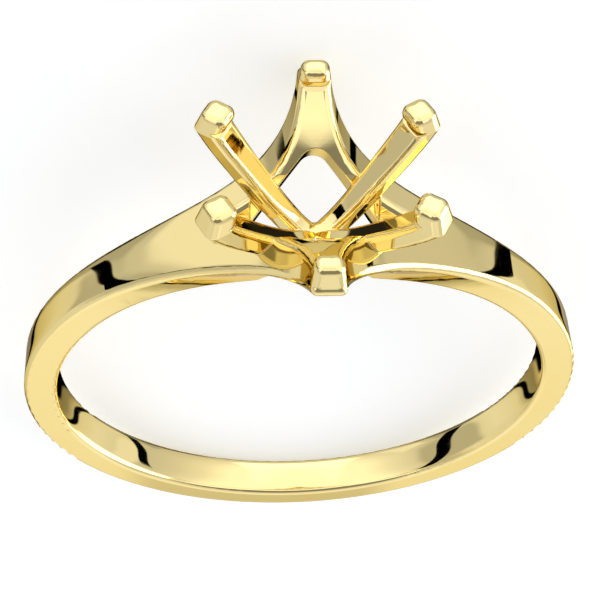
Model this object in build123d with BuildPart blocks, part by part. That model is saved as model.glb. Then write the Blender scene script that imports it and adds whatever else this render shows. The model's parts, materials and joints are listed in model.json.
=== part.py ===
from build123d import *
import os
from math import atan2, cos, degrees, isclose, radians, sin

os.makedirs("parts", exist_ok=True)

# Six-prong solitaire ring setting, one gold casting without its stone, in millimetres.
# It is drawn lying flat: X to the right, Y from the finger hole toward the head,
# Z along the finger hole. The last step tips it onto the two places that it rests on.

# Band
finger_radius = 8.45
band_thickness = 1.1
band_width = 1.5
edge_round = 0.18
smooth_within = 25.0

# Head
stone_diameter = 6.5
head_height = 3.3
prong_spacing = 60.0

# Claws, each a small pillow-like block that widens downward
claw_count = 6
claw_overhang = 0.3
claw_height = 0.65
claw_top_width = 0.78
claw_base_width = 0.96
claw_base_depth = 0.86
claw_corner = 0.26
claw_edge_round = 0.22

# The claws of the near and far prongs lean out, those of the side prongs reach in over the stone
web_claw_lean = 0.08
web_claw_top_depth = 0.56
web_claw_drop = 0.1
side_claw_lean = -0.2
side_claw_top_depth = 0.84

# Notch in the claws for the stone's edge
seat_drop = 0.55
seat_rise = 0.24
seat_fall = 0.28

# Side prongs, bent bars that cross over the finger hole
stem_depth = 0.68
stem_lift = 0.46
hub_width = 0.6
hub_radius = 0.5
stem_corner = 0.18
stem_sections = 6

# Webs that rise from the band to the near and far prongs
web_tip_width = 0.94
web_waist_width = 1.16
web_waist_rise = 0.45
web_leave_angle = 41.0
web_leave_length = 3.72
web_tip_reach = 4.08
web_tip_depth = 1.1
web_top_drop = 0.65
web_inner_round = 0.26
bridge_thickness = 0.95
bridge_width = 0.6

# Pointed opening under the near prong, and the same under the far one
arch_rise = 1.75
arch_reach = 1.85
arch_width = 3.8
arch_height = 2.9
arch_shoulder = 0.6
arch_round = 0.5
arch_lean = 28.0

outer_radius = finger_radius + band_thickness
half_band = band_width / 2
claw_top = outer_radius + head_height
web_top = claw_top - web_top_drop
claw_inner = stone_diameter / 2 - claw_overhang
stem_reach = claw_inner + claw_base_depth / 2
claw_base = claw_top - claw_height
hub_height = finger_radius + stem_lift
past_head = web_tip_reach + band_width
past_ring = outer_radius + band_width
web_spread = web_tip_reach - half_band
web_rise = web_top - outer_radius

# Bends of the web's outer face, seen from the side
web_face = (
    # share of the height from the band's circle to the web's top, share of the spread
    (-1.69, 0.0),
    (0.17, 0.0),
    (0.02, 0.32),
    (1.0, 1.0),
)

# Bends of the web's inner face, from the bridge to the prong's tip
web_back = (
    # share of the height from the bridge to the web's top, share of the depth out to the tip
    (0.0, 0.0),
    (0.32, 0.1),
    (0.55, 0.37),
    (1.0, 1.0),
)

# Bends of a side prong's middle line, from the hub to the foot of its claw
stem_line = (
    # share of the reach, share of the height
    (0.0, 0.0),
    (0.28, 0.045),
    (0.5, 0.37),
    (0.92, 0.84),
    (1.0, 1.0),
)


def web_outline(side):
    """Side of a web seen along the finger hole, from the prong's tip down to the band's circle."""
    angle = radians(web_leave_angle)
    leave = Vector(side * outer_radius * sin(angle), outer_radius * cos(angle))
    along = Vector(side * cos(angle), -sin(angle))
    tip = Vector(side * web_tip_width / 2, web_top)
    waist = Vector(side * web_waist_width / 2, outer_radius + web_waist_rise)
    return Bezier(tip, waist, leave - along * web_leave_length, leave)


def web_face_point(share_up, share_out):
    """A point of the web's outer face, as height and distance from the ring's middle plane."""
    return (outer_radius + share_up * web_rise, half_band + share_out * web_spread)


def web_back_point(share_up, share_out):
    """A point of the web's inner face, as height and distance from the ring's middle plane."""
    floor = finger_radius + bridge_thickness
    inside = web_tip_reach - web_tip_depth
    out = bridge_width / 2 + share_out * (inside - bridge_width / 2)
    return (floor + share_up * (web_top - floor), out)


def is_web_inner_edge(edge):
    """True for a side edge of a web's inner face, which runs from the bridge out to the prong's tip."""
    near, far = sorted(abs((edge @ end).Z) for end in (0, 1))
    return isclose(near, bridge_width / 2, abs_tol=edge_round) and far > half_band


def is_sharp(edge):
    """True where the two faces that meet at an edge turn away from each other."""
    facings = [face.normal_at(edge @ 0.5) for face in edge.topo_parent.faces() if edge in face.edges()]
    return facings[0].dot(facings[-1]) < cos(radians(smooth_within))


def head_plane(turn):
    """Upright plane through the head's axis, its X outward at the turn and its Y up the axis."""
    angle = radians(turn)
    return Plane(origin=(0, 0, 0), x_dir=(cos(angle), 0, sin(angle)), z_dir=(-sin(angle), 0, cos(angle)))


def side_prong(turn):
    """One side prong, a bent bar from the middle of the head out to the foot of its claw."""
    upright = head_plane(turn)
    rise = claw_base - hub_height
    with BuildPart() as bar:
        with BuildLine(upright) as path:
            Bezier(*[(out * stem_reach, hub_height + up * rise) for out, up in stem_line])
        for section in range(stem_sections):
            along = section / stem_sections
            width = hub_width + (claw_base_width - hub_width) * along
            across = Plane(origin=path.line @ along, x_dir=upright.z_dir, z_dir=path.line % along)
            with BuildSketch(across):
                RectangleRounded(width, stem_depth, stem_corner)
        with BuildSketch(Plane(origin=path.line @ 1, x_dir=upright.z_dir, z_dir=upright.y_dir)):
            RectangleRounded(claw_base_width, claw_base_depth, claw_corner)
        loft()
    return bar.part


def claw(lean, top_depth):
    """One claw where the near prong's stands, its top moved outward by the lean."""
    with BuildPart() as block:
        with BuildSketch(Plane.XZ.offset(-claw_base)):
            with Locations((0, claw_inner + claw_base_depth / 2)):
                RectangleRounded(claw_base_width, claw_base_depth, claw_corner)
        with BuildSketch(Plane.XZ.offset(-claw_top)):
            with Locations((0, claw_inner + lean + top_depth / 2)):
                RectangleRounded(claw_top_width, top_depth, claw_corner)
        loft()
        fillet(block.edges().group_by(Axis.Y)[-1], radius=claw_edge_round)
    return block.part


# Band and webs: the outline seen along the finger hole, crossed with the flare seen from the side
with BuildPart() as body:
    with BuildSketch(Plane.XY.offset(-past_head)):
        with BuildLine():
            right = web_outline(1)
            left = web_outline(-1)
            Line(left @ 0, right @ 0)
            ThreePointArc(right @ 1, (0, -outer_radius), left @ 1)
        make_face()
    extrude(amount=2 * past_head)
    with BuildSketch(Plane.YZ.offset(-past_ring)):
        with BuildLine():
            outer_face = Bezier(*[web_face_point(up, out) for up, out in web_face])
            inner_face = Bezier(*[web_back_point(up, out) for up, out in web_back])
            Line(outer_face @ 1, inner_face @ 1)
            Polyline(inner_face @ 0, (finger_radius + bridge_thickness, 0), (-past_ring, 0))
            Polyline((-past_ring, 0), (-past_ring, half_band), outer_face @ 0)
        make_face()
        mirror(about=Plane.XZ)
    extrude(amount=2 * past_ring, mode=Mode.INTERSECT)
    Cylinder(finger_radius, 4 * past_head, mode=Mode.SUBTRACT)
    fillet(body.edges().filter_by(is_web_inner_edge), radius=web_inner_round)
    fillet(body.edges().filter_by(is_sharp), radius=edge_round)

# Pointed opening, cut through the near web along a leaning line
with BuildPart() as arch:
    lean = radians(arch_lean)
    apex = (0, outer_radius + arch_rise, arch_reach)
    with BuildSketch(Plane(origin=apex, x_dir=(1, 0, 0), z_dir=(0, -cos(lean), sin(lean)))) as arch_shape:
        with BuildLine():
            Polyline(
                (0, 0),
                (arch_width / 2, arch_shoulder - arch_height),
                (arch_width / 2, -arch_height),
                (-arch_width / 2, -arch_height),
                (-arch_width / 2, arch_shoulder - arch_height),
                close=True,
            )
        make_face()
        fillet(arch_shape.vertices().sort_by(Axis.Y)[-3:], radius=arch_round)
    extrude(amount=past_head, both=True)

# Notch that the stone's edge would lie in, turned round the head's axis
with BuildPart() as seat:
    with BuildSketch(Plane.XY):
        with BuildLine():
            level = claw_top - seat_drop
            open_side = claw_inner - claw_overhang
            Polyline(
                (stone_diameter / 2, level),
                (open_side, level + seat_rise),
                (open_side, level - seat_fall),
                close=True,
            )
        make_face()
    revolve(axis=Axis.Y)

web_claw = claw(web_claw_lean, web_claw_top_depth)
side_claw = claw(side_claw_lean, side_claw_top_depth)

with BuildPart() as casting:
    add(body.part)
    add(arch.part, mode=Mode.SUBTRACT)
    add(arch.part.mirror(Plane.XY), mode=Mode.SUBTRACT)
    for turn in (0.5, 5.5, 2.5, 3.5):
        add(side_prong(turn * prong_spacing))
    with BuildSketch(Plane.XZ):
        Circle(hub_radius)
    extrude(amount=-hub_height - stem_depth / 4)
    for turn in range(claw_count):
        over_web = turn % (claw_count / 2) == 0
        shape = web_claw.moved(Location((0, -web_claw_drop, 0))) if over_web else side_claw
        add(shape.rotate(Axis.Y, turn * prong_spacing))
    add(seat.part, mode=Mode.SUBTRACT)
    Cylinder(finger_radius, 4 * past_head, mode=Mode.SUBTRACT)

# Rest on the far prong's outer tip and on the far side of the band's foot, both rounded alike
face_bend = web_face_point(*web_face[2])
face_slope = atan2(web_tip_reach - face_bend[1], web_top - face_bend[0])
tip_out = web_tip_reach - edge_round * (1 + sin(face_slope)) / cos(face_slope)
run = (web_top - edge_round) + (outer_radius - edge_round)
tilt = degrees(atan2(tip_out - (half_band - edge_round), run))
tipped = casting.part.rotate(Axis.X, tilt)
box = tipped.bounding_box()

with BuildPart() as ring_mount:
    with Locations((0, -box.center().Y, -box.min.Z)):
        add(tipped)

ring_mount.part.label = "ring_mount"
export_step(ring_mount.part, "parts/ring_mount.step")
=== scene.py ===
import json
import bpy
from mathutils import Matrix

bl_info = {
    "name": "Solitaire Ring Setting",
    "version": (1, 0, 0),
    "blender": (4, 5, 0),
    "location": "View3D > Sidebar > Ring",
    "description": "Polished gold, studio and camera for a six-prong ring setting",
    "category": "Object",
}

from math import cos, radians, sin

import bpy
from bpy.props import FloatProperty, FloatVectorProperty, PointerProperty
from mathutils import Matrix, Vector

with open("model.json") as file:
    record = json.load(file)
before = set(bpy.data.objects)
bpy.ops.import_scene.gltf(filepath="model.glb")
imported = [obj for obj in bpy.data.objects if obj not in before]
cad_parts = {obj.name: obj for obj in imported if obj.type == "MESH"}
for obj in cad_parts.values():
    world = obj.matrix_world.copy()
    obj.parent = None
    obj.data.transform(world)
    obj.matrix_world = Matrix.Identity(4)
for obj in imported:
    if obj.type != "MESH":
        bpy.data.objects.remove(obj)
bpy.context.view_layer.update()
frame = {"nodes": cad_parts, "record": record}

MM = 0.001

# The ring's own axes: across it, from the finger hole toward the head, and along the finger hole
BORE = next(mount for mount in frame["record"]["mounts"] if mount["name"] == "finger_bore")
CENTRE = Vector(BORE["pos_m"])
HOLE = Vector(BORE["axis"]).normalized()
ACROSS = Vector((1, 0, 0))
HEADWARD = HOLE.cross(ACROSS).normalized()


def on_ring(across, headward, hole):
    """A direction or distance in the ring's own axes, turned into the model's frame."""
    return ACROSS * across + HEADWARD * headward + HOLE * hole


# Powers of the curves of the shoulders' flare and of the band's crown
FLARE_POWER = 3
CROWN_POWER = 4

# Share of the half width up to which the crown falls, a little past the edge
CROWN_REACH = 1.1

# Parts of the noise's range over which the tone and the haze change
TONE_CHANGE = (0.35, 0.65)
HAZE_CHANGE = (0.4, 0.75)

# The room's walls, whose brightness is multiplied by the level
WALL_LEVEL = 1.25
WALLS = (
    # share of the way from straight down to straight up, brightness
    (0.0, 1.0),
    (0.01, 0.80),
    (0.03, 0.28),
    (0.06, 0.30),
    (0.09, 0.50),
    (0.12, 0.68),
    (0.24, 0.70),
    (0.42, 0.56),
    (0.50, 0.50),
    (0.58, 0.54),
    (0.66, 0.60),
    (0.75, 0.74),
    (0.82, 0.96),
    (0.96, 1.0),
    (1.0, 0.80),
)

# Lit and shaded panels in front of the walls, each over those above it in the table
PANELS = (
    # turn from and to in degrees, height from and to, softness of the borders, brightness
    (-45, 45, -0.92, -0.30, 0.10, 1.05),
    (-6, 12, -0.84, -0.775, 0.03, 0.78),
    (-25, 30, -0.25, 0.05, 0.06, 0.90),
    (62, 104, -0.68, 0.42, 0.04, 3.0),
    (-108, -30, -0.80, -0.02, 0.08, 0.80),
    (-150, -127, 0.10, 0.36, 0.04, 0.95),
    (-122, -105, -0.32, 0.28, 0.05, 0.50),
    (106, 119, -0.30, -0.05, 0.04, 0.90),
    (-110, -60, 0.10, 0.45, 0.06, 0.55),
    (124, 139, -0.80, 0.0, 0.03, 0.45),
    (-139, -124, -0.80, 0.0, 0.03, 0.45),
    (139, 162, -0.70, -0.34, 0.02, 0.02),
    (-162, -139, -0.70, -0.34, 0.02, 0.02),
    (-50, 50, 0.28, 0.897, 0.025, 0.25),
    (150, 200, 0.45, 0.75, 0.08, 1.6),
    (-200, -150, 0.45, 0.75, 0.08, 1.6),
)

# Dark gaps between the walls, which draw the black bands on the polished shoulders
GAP_BORDER = 0.008
GAPS = (
    # turn from and to in degrees, softness of those ends, height at the corner, width
    (112, 136, 0.03, -0.20, 0.13),
    (-127, -90, 0.01, -0.107, 0.20),
)

# The way to the back of the room, where a dark rim and a dark end outline the ring
REAR = on_ring(0.0675, -0.8512, -0.5205)
RIM_WIDTH = 0.05
END_START = 0.975
END_FULL = 0.99


class Wire:
    """One output of a node. Arithmetic on it adds the Math nodes that work it out."""

    def __init__(self, graph, socket):
        self.graph = graph
        self.socket = socket

    def _math(self, operation, first, second):
        return self.graph.add("ShaderNodeMath", {"operation": operation}, {0: first, 1: second})

    def __add__(self, other):
        return self._math("ADD", self, other)

    def __radd__(self, other):
        return self._math("ADD", other, self)

    def __sub__(self, other):
        return self._math("SUBTRACT", self, other)

    def __rsub__(self, other):
        return self._math("SUBTRACT", other, self)

    def __mul__(self, other):
        return self._math("MULTIPLY", self, other)

    def __rmul__(self, other):
        return self._math("MULTIPLY", other, self)

    def __truediv__(self, other):
        return self._math("DIVIDE", self, other)

    def __rtruediv__(self, other):
        return self._math("DIVIDE", other, self)

    def __pow__(self, other):
        return self._math("POWER", self, other)

    def __rpow__(self, other):
        return self._math("POWER", other, self)

    def __abs__(self):
        return self._math("ABSOLUTE", self, 0.0)

    def sign(self):
        return self._math("SIGN", self, 0.0)

    def at_least(self, other):
        return self._math("MAXIMUM", self, other)

    def at_most(self, other):
        return self._math("MINIMUM", self, other)

    def angle_from(self, forward):
        """Angle in radians of a direction that runs this far sideways and the other far forward."""
        return self._math("ARCTAN2", self, forward)


class Graph:
    """The node tree of one material or world."""

    def __init__(self, tree):
        self.tree = tree
        tree.nodes.clear()

    def add(self, kind, settings=None, sockets=None, out=0):
        """Adds a node, sets its settings, then its sockets' values or links, and returns one output."""
        node = self.tree.nodes.new(kind)
        for name, value in (settings or {}).items():
            if name == "stops":
                self._set_stops(node.color_ramp, value)
            else:
                setattr(node, name, value)
        for name, value in (sockets or {}).items():
            if isinstance(value, Wire):
                self.tree.links.new(value.socket, node.inputs[name])
            else:
                node.inputs[name].default_value = value
        return Wire(self, node.outputs[out]) if node.outputs else None

    @staticmethod
    def _set_stops(ramp, stops):
        while len(ramp.elements) < len(stops):
            ramp.elements.new(1.0)
        for element, (place, level) in zip(ramp.elements, stops):
            element.position = place
            element.color = (level, level, level, 1.0)

    def vector(self, operation, *parts, out=0):
        """A Vector Math node. Its inputs are filled in order, and one given as None is left alone."""
        sockets = {place: part for place, part in enumerate(parts) if part is not None}
        return self.add("ShaderNodeVectorMath", {"operation": operation}, sockets, out)

    def scaled(self, vector, factor):
        """A vector times a number."""
        return self.vector("SCALE", vector, None, None, factor)

    def dot(self, way, direction):
        """How far a vector runs along a fixed direction."""
        return self.vector("DOT_PRODUCT", way, tuple(direction), out="Value")

    def mix(self, kind, factor, first, second):
        """Mixes two colours or two vectors."""
        a, b, out = {"VECTOR": (4, 5, 1), "RGBA": (6, 7, 2)}[kind]
        return self.add("ShaderNodeMix", {"data_type": kind}, {0: factor, a: first, b: second}, out)

    def ease(self, value, low, high, start=0.0, end=1.0):
        """Goes smoothly from start to end while the value goes from low to high."""
        settings = {"interpolation_type": "SMOOTHSTEP"}
        sockets = {"Value": value, "From Min": low, "From Max": high, "To Min": start, "To Max": end}
        return self.add("ShaderNodeMapRange", settings, sockets)

    def window(self, value, low, high, soft):
        """One between low and high, zero outside, with soft borders."""
        rise = self.ease(value, low - soft, low + soft)
        fall = self.ease(value, high - soft, high + soft)
        return rise * (1 - fall)

    def noise(self, where, scale, detail):
        """Noise from zero to one."""
        sockets = {"Vector": where, "Scale": scale, "Detail": detail}
        return self.add("ShaderNodeTexNoise", None, sockets)


def new_material(name):
    """A material with an empty node tree."""
    material = bpy.data.materials.new(name)
    material.use_nodes = True
    return material, Graph(material.node_tree)


def opaque(colour):
    """A colour of three parts as the four that a colour socket takes."""
    return tuple(colour) + (1.0,)


def crown_height(graph, look, headward, along):
    """Height of the slight crown on the band's faces, which fades out toward the head."""
    flare = ((headward - look.flare_start) / look.flare_length).at_least(0.0)
    half_width = look.band_width / 2 + look.flare_width * flare**FLARE_POWER
    share = (abs(along) / half_width).at_most(CROWN_REACH)
    fade = graph.ease(headward, look.crown_end - look.crown_fade, look.crown_end, 1.0, 0.0)
    # The slope of share**CROWN_POWER / CROWN_POWER is one at the edge, where share is one
    return share**CROWN_POWER * half_width * fade * -look.crown_slope / CROWN_POWER


def band_facing(graph, look, flat, out, along):
    """Direction that the band's rounded section faces, from a point's place in the ring's own axes.

    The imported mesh's own facings are rough averages on the narrow rounded edges.
    """
    past_middle = out - (look.finger_radius + look.band_thickness / 2)
    past_thick = (abs(past_middle) - look.band_thickness / 2 + look.edge_round).at_least(0.0)
    past_wide = (abs(along) - look.band_width / 2 + look.edge_round).at_least(0.0)
    sideways = graph.scaled(tuple(HOLE), past_wide * along.sign())
    outward = graph.scaled(flat, past_thick * past_middle.sign() / out)
    return graph.vector("NORMALIZE", graph.vector("ADD", outward, sideways))


def polished_gold(look):
    """Mirror-polished yellow gold with a crowned band, faint polishing lines and handling haze."""
    material, graph = new_material("polished_gold")
    place = graph.add("ShaderNodeTexCoord", out="Object")
    from_centre = graph.vector("SUBTRACT", place, tuple(CENTRE))
    across = graph.dot(from_centre, ACROSS)
    headward = graph.dot(from_centre, HEADWARD)
    along = graph.dot(from_centre, HOLE)
    out = (across**2 + headward**2) ** 0.5
    flat = graph.vector("SUBTRACT", from_centre, graph.scaled(tuple(HOLE), along))

    tone = graph.noise(from_centre, 1 / look.tone_size, 2.0)
    drift = graph.ease(tone, *TONE_CHANGE)
    colour = graph.mix("RGBA", drift, opaque(look.gold_colour), opaque(look.warm_colour))
    haze = graph.noise(from_centre, 1 / look.haze_size, 4.0)
    rough = graph.ease(haze, *HAZE_CHANGE, look.polish_roughness, look.haze_roughness)

    softened = graph.add("ShaderNodeBevel", {"samples": 8}, {"Radius": look.edge_softness})
    on_band = graph.ease(headward, look.flare_start - look.facing_fade, look.flare_start, 1.0, 0.0)
    facing = graph.mix("VECTOR", on_band, softened, band_facing(graph, look, flat, out, along))
    crown = crown_height(graph, look, headward, along)
    crowned = graph.add("ShaderNodeBump", None, {"Distance": 1.0, "Height": crown, "Normal": facing})

    turned = headward.angle_from(across) * look.hairline_length
    around = graph.add("ShaderNodeCombineXYZ", None, {"X": turned, "Y": out, "Z": along})
    hairline_sockets = {
        "Strength": look.hairline_strength,
        "Distance": look.hairline_depth,
        "Height": graph.noise(around, 1 / look.hairline_width, 3.0),
        "Normal": crowned,
    }
    shader_sockets = {
        "Base Color": colour,
        "Metallic": 1.0,
        "Roughness": rough,
        "Specular Tint": opaque(look.edge_tint),
        "Normal": graph.add("ShaderNodeBump", None, hairline_sockets),
    }
    shader = graph.add("ShaderNodeBsdfPrincipled", None, shader_sockets)
    graph.add("ShaderNodeOutputMaterial", None, {"Surface": shader})
    return material


def light_table(look):
    """Pale sheet that glows a little, so that shadows on it stay light."""
    material, graph = new_material("light_table")
    place = graph.add("ShaderNodeTexCoord", out="Object")
    grain = graph.noise(place, 1 / look.grain_size, 2.0)
    sockets = {
        "Base Color": graph.mix("RGBA", grain, opaque(look.grain_colour), opaque(look.floor_colour)),
        "Roughness": look.floor_roughness,
        "Specular IOR Level": look.floor_gloss,
        "Emission Color": opaque(look.glow_colour),
        "Emission Strength": look.floor_glow,
    }
    shader = graph.add("ShaderNodeBsdfPrincipled", None, sockets)
    graph.add("ShaderNodeOutputMaterial", None, {"Surface": shader})
    return material


def studio_world(look):
    """White room round the ring: bright above, with lit and shaded panels and dark gaps between walls."""
    world = bpy.data.worlds.new("studio")
    world.use_nodes = True
    graph = Graph(world.node_tree)
    way = graph.add("ShaderNodeTexCoord", out="Generated")
    over = on_ring(0, cos(look.room_lean), sin(look.room_lean))
    front = on_ring(0, -sin(look.room_lean), cos(look.room_lean))
    height = graph.dot(way, over)
    turn = graph.dot(way, ACROSS).angle_from(graph.dot(way, front))

    level = graph.add("ShaderNodeValToRGB", {"stops": WALLS}, {0: height * 0.5 + 0.5}) * WALL_LEVEL
    for left, right, low, high, soft, brightness in PANELS:
        inside = graph.window(turn, radians(left), radians(right), soft)
        inside = inside * graph.window(height, low, high, soft)
        level = level + inside * (brightness - level)

    # The gaps slant, so a height is first carried along the slant to the room's corner
    at_corner = height + (abs(turn) - look.corner_turn) * look.gap_slant
    for left, right, soft, middle, width in GAPS:
        off_middle = abs(at_corner - middle)
        gap = graph.ease(off_middle, width / 2 - GAP_BORDER, width / 2 + GAP_BORDER, 1.0, 0.0)
        gap = gap * graph.window(turn, radians(left), radians(right), soft)
        level = level * (1 - gap)

    behind = graph.dot(way, REAR)
    rim = graph.window(behind, look.rim_start, look.rim_start + RIM_WIDTH, GAP_BORDER)
    end = graph.ease(behind, END_START, END_FULL)
    level = level * (1 - rim) * (1 - end) * look.room_level

    studio = graph.add("ShaderNodeBackground", None, {"Color": level})
    pale = graph.add("ShaderNodeBackground", None, {"Color": opaque(look.backdrop_colour)})
    seen = graph.add("ShaderNodeLightPath", out="Is Camera Ray")
    surface = graph.add("ShaderNodeMixShader", None, {0: seen, 1: studio, 2: pale})
    graph.add("ShaderNodeOutputWorld", None, {"Surface": surface})
    return world


class CastingLook(bpy.types.PropertyGroup):
    """Colour, polish and rounding of the gold casting"""

    gold_colour: FloatVectorProperty(
        name="Gold colour",
        description="Colour of the polished gold",
        default=(0.96, 0.80, 0.385),
        size=3,
        min=0.0,
        max=1.0,
        subtype="COLOR",
    )
    warm_colour: FloatVectorProperty(
        name="Warm colour",
        description="Colour that the gold drifts to here and there",
        default=(0.96, 0.788, 0.3619),
        size=3,
        min=0.0,
        max=1.0,
        subtype="COLOR",
    )
    edge_tint: FloatVectorProperty(
        name="Edge tint",
        description="Colour that the gold keeps where it is seen nearly edge on",
        default=(0.66, 0.54, 0.29),
        size=3,
        min=0.0,
        max=1.0,
        subtype="COLOR",
    )
    tone_size: FloatProperty(
        name="Tone size",
        description="Size of the patches of warmer colour",
        default=4.8 * MM,
        min=0.01 * MM,
        precision=5,
        unit="LENGTH",
    )
    polish_roughness: FloatProperty(
        name="Polish roughness",
        description="Roughness where the polish is clean",
        default=0.025,
        min=0.0,
        max=1.0,
        subtype="FACTOR",
    )
    haze_roughness: FloatProperty(
        name="Haze roughness",
        description="Roughness where handling has dulled the polish",
        default=0.07,
        min=0.0,
        max=1.0,
        subtype="FACTOR",
    )
    haze_size: FloatProperty(
        name="Haze size",
        description="Size of the dulled patches",
        default=1.6 * MM,
        min=0.01 * MM,
        precision=5,
        unit="LENGTH",
    )
    hairline_width: FloatProperty(
        name="Hairline width",
        description="Width of the polishing lines",
        default=0.09 * MM,
        min=0.01 * MM,
        precision=5,
        unit="LENGTH",
    )
    hairline_length: FloatProperty(
        name="Hairline stretch",
        description="Length of the noise per radian, small for long lines",
        default=0.34 * MM,
        min=0.0,
        precision=5,
        unit="LENGTH",
    )
    hairline_depth: FloatProperty(
        name="Hairline depth",
        description="Depth of the polishing lines",
        default=0.0006 * MM,
        min=0.0,
        precision=5,
        unit="LENGTH",
    )
    hairline_strength: FloatProperty(
        name="Hairline strength",
        description="How much the polishing lines disturb reflections",
        default=0.3,
        min=0.0,
        max=1.0,
        subtype="FACTOR",
    )
    finger_radius: FloatProperty(
        name="Finger radius",
        description="Radius of the finger hole",
        default=BORE["dims"]["r_mm"] * MM,
        min=0.0,
        precision=5,
        unit="LENGTH",
    )
    band_width: FloatProperty(
        name="Band width",
        description="Width of the band along the finger hole",
        default=BORE["dims"]["length_mm"] * MM,
        min=0.0,
        precision=5,
        unit="LENGTH",
    )
    band_thickness: FloatProperty(
        name="Band thickness",
        description="Thickness of the band",
        default=1.1 * MM,
        min=0.0,
        precision=5,
        unit="LENGTH",
    )
    edge_round: FloatProperty(
        name="Edge round",
        description="Radius of the band's rounded edges",
        default=0.18 * MM,
        min=0.0,
        precision=5,
        unit="LENGTH",
    )
    edge_softness: FloatProperty(
        name="Edge softness",
        description="Radius that polishing gives to the head's edges and joints",
        default=0.06 * MM,
        min=0.0,
        precision=5,
        unit="LENGTH",
    )
    flare_start: FloatProperty(
        name="Flare start",
        description="Distance from the centre toward the head where the band widens",
        default=5.07 * MM,
        min=0.0,
        precision=5,
        unit="LENGTH",
    )
    flare_length: FloatProperty(
        name="Flare length",
        description="Distance over which the band gains the flare width",
        default=4.5 * MM,
        min=0.01 * MM,
        precision=5,
        unit="LENGTH",
    )
    flare_width: FloatProperty(
        name="Flare width",
        description="What half the band's width gains over the flare length",
        default=0.8 * MM,
        min=0.0,
        precision=5,
        unit="LENGTH",
    )
    facing_fade: FloatProperty(
        name="Facing fade",
        description="Distance before the flare where the rounded section fades out",
        default=0.5 * MM,
        min=0.0,
        precision=5,
        unit="LENGTH",
    )
    crown_end: FloatProperty(
        name="Crown end",
        description="Distance toward the head where the crown has faded out",
        default=9.6 * MM,
        min=0.0,
        precision=5,
        unit="LENGTH",
    )
    crown_fade: FloatProperty(
        name="Crown fade",
        description="Distance over which the crown fades out",
        default=2.2 * MM,
        min=0.01 * MM,
        precision=5,
        unit="LENGTH",
    )
    crown_slope: FloatProperty(
        name="Crown slope",
        description="Slope of the crowned faces at the band's edges",
        default=0.36,
        min=0.0,
        max=1.0,
        subtype="FACTOR",
    )


class StageLook(bpy.types.PropertyGroup):
    """Colours of the floor and backdrop, and the room that the gold mirrors"""

    floor_radius: FloatProperty(
        name="Floor radius",
        description="Radius of the round floor",
        default=600 * MM,
        min=0.0,
        precision=5,
        unit="LENGTH",
    )
    floor_colour: FloatVectorProperty(
        name="Floor colour",
        description="Colour of the pale floor",
        default=(0.86, 0.86, 0.86),
        size=3,
        min=0.0,
        max=1.0,
        subtype="COLOR",
    )
    grain_colour: FloatVectorProperty(
        name="Grain colour",
        description="Colour of the floor's fine grain",
        default=(0.8471, 0.8471, 0.8471),
        size=3,
        min=0.0,
        max=1.0,
        subtype="COLOR",
    )
    grain_size: FloatProperty(
        name="Grain size",
        description="Size of the floor's fine grain",
        default=0.4 * MM,
        min=0.01 * MM,
        precision=5,
        unit="LENGTH",
    )
    floor_roughness: FloatProperty(
        name="Floor roughness",
        description="Roughness of the floor",
        default=0.35,
        min=0.0,
        max=1.0,
        subtype="FACTOR",
    )
    floor_gloss: FloatProperty(
        name="Floor gloss",
        description="Strength of the floor's reflections",
        default=0.2,
        min=0.0,
        max=1.0,
        subtype="FACTOR",
    )
    glow_colour: FloatVectorProperty(
        name="Glow colour",
        description="Colour of the light that the floor gives off",
        default=(0.93, 0.96, 1.0),
        size=3,
        min=0.0,
        max=1.0,
        subtype="COLOR",
    )
    floor_glow: FloatProperty(
        name="Floor glow",
        description="Light that the floor gives off by itself",
        default=0.42,
        min=0.0,
        max=1.0,
        subtype="FACTOR",
    )
    backdrop_colour: FloatVectorProperty(
        name="Backdrop colour",
        description="What the camera sees past the floor",
        default=(0.99, 0.99, 1.0),
        size=3,
        min=0.0,
        max=1.0,
        subtype="COLOR",
    )
    room_level: FloatProperty(
        name="Room level",
        description="Brightness of the whole room",
        default=1.0,
        min=0.0,
    )
    room_lean: FloatProperty(
        name="Room lean",
        description="Lean of the room's upright from the head's axis toward the near side",
        default=radians(14),
        subtype="ANGLE",
    )
    corner_turn: FloatProperty(
        name="Corner turn",
        description="Turn from the room's front to the corners where the dark gaps stand",
        default=radians(122),
        subtype="ANGLE",
    )
    gap_slant: FloatProperty(
        name="Gap slant",
        description="How much lower the dark gaps run per radian toward the back",
        default=1.49,
    )
    rim_start: FloatProperty(
        name="Rim start",
        description="How far back the dark rim starts, one for straight behind the ring",
        default=0.83,
        min=0.0,
        max=1.0,
        subtype="FACTOR",
    )


class CameraLook(bpy.types.PropertyGroup):
    """Place and lens of the camera, fitted to the photograph"""

    eye: FloatVectorProperty(
        name="Eye",
        description="Camera's place from the finger hole's centre: across, headward and along the hole",
        default=(-2.954 * MM, 39.512 * MM, 20.806 * MM),
        size=3,
        precision=5,
        subtype="TRANSLATION",
    )
    aim: FloatVectorProperty(
        name="Aim",
        description="Point that the camera looks at, in the same axes",
        default=(0.017 * MM, 2.059 * MM, -2.095 * MM),
        size=3,
        precision=5,
        subtype="TRANSLATION",
    )
    roll: FloatProperty(
        name="Roll",
        description="Turn of the camera about its line of sight",
        default=radians(5.37),
        subtype="ANGLE",
    )
    lens: FloatProperty(
        name="Lens",
        description="Focal length",
        default=75.41,
        min=10.0,
        unit="CAMERA",
    )


class RING_OT_casting(bpy.types.Operator):
    """Gives the casting its polished gold"""

    bl_idname = "ring.casting"
    bl_label = "Finish the casting"

    def execute(self, context):
        casting = frame["nodes"].get("ring_mount")
        if casting is None:
            raise RuntimeError("the packed model has no ring_mount")
        gold = polished_gold(context.scene.ring_casting)
        for material_slot in casting.material_slots:
            material_slot.material = gold
        return {"FINISHED"}


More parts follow.
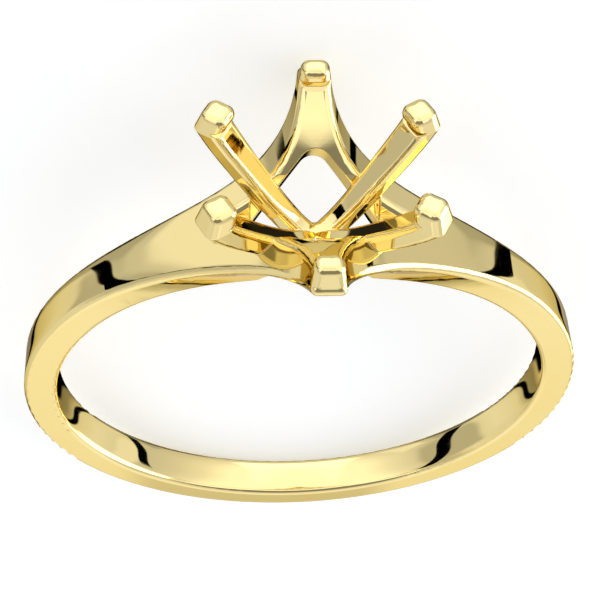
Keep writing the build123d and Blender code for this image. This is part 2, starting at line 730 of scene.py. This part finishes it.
class RING_OT_stage(bpy.types.Operator):
    """Lays the pale floor and lights the room"""

    bl_idname = "ring.stage"
    bl_label = "Set the stage"

    def execute(self, context):
        look = context.scene.ring_stage
        bpy.ops.mesh.primitive_circle_add(vertices=128, radius=look.floor_radius, fill_type="NGON")
        floor = context.object
        floor.name = "floor"
        floor.data.materials.append(light_table(look))
        # The gold mirrors the room below the horizon too, not the floor
        floor.visible_glossy = False
        context.scene.world = studio_world(look)
        context.scene.view_settings.view_transform = "Standard"
        return {"FINISHED"}


class RING_OT_camera(bpy.types.Operator):
    """Places the camera at the photograph's angle to the ring"""

    bl_idname = "ring.camera"
    bl_label = "Place the camera"

    def execute(self, context):
        look = context.scene.ring_camera
        eye = CENTRE + on_ring(*look.eye)
        aim = CENTRE + on_ring(*look.aim)
        back = (eye - aim).normalized()
        level = HEADWARD.cross(back).normalized()
        right = Matrix.Rotation(look.roll, 3, back) @ level
        up = back.cross(right)
        data = bpy.data.cameras.new("camera")
        data.lens = look.lens
        data.clip_start = 1 * MM
        camera = bpy.data.objects.new("camera", data)
        camera.matrix_world = Matrix.Translation(eye) @ Matrix((right, up, back)).transposed().to_4x4()
        context.scene.collection.objects.link(camera)
        context.scene.camera = camera
        return {"FINISHED"}


class RING_PT_panel(bpy.types.Panel):
    """Lists the ring's casting, stage and camera"""

    bl_idname = "RING_PT_panel"
    bl_label = "Ring Setting"
    bl_space_type = "VIEW_3D"
    bl_region_type = "UI"
    bl_category = "Ring"

    def draw(self, context):
        groups = (
            (RING_OT_casting, context.scene.ring_casting),
            (RING_OT_stage, context.scene.ring_stage),
            (RING_OT_camera, context.scene.ring_camera),
        )
        for operator, look in groups:
            box = self.layout.box()
            for name in look.__annotations__:
                box.prop(look, name)
            box.operator(operator.bl_idname)


CLASSES = (
    CastingLook,
    StageLook,
    CameraLook,
    RING_OT_casting,
    RING_OT_stage,
    RING_OT_camera,
    RING_PT_panel,
)


def register():
    for cls in CLASSES:
        bpy.utils.register_class(cls)
    bpy.types.Scene.ring_casting = PointerProperty(type=CastingLook)
    bpy.types.Scene.ring_stage = PointerProperty(type=StageLook)
    bpy.types.Scene.ring_camera = PointerProperty(type=CameraLook)


def unregister():
    del bpy.types.Scene.ring_camera
    del bpy.types.Scene.ring_stage
    del bpy.types.Scene.ring_casting
    for cls in reversed(CLASSES):
        bpy.utils.unregister_class(cls)


def main():
    register()
    bpy.ops.ring.camera()
    bpy.ops.ring.casting()
    bpy.ops.ring.stage()


if __name__ == "__main__":
    main()
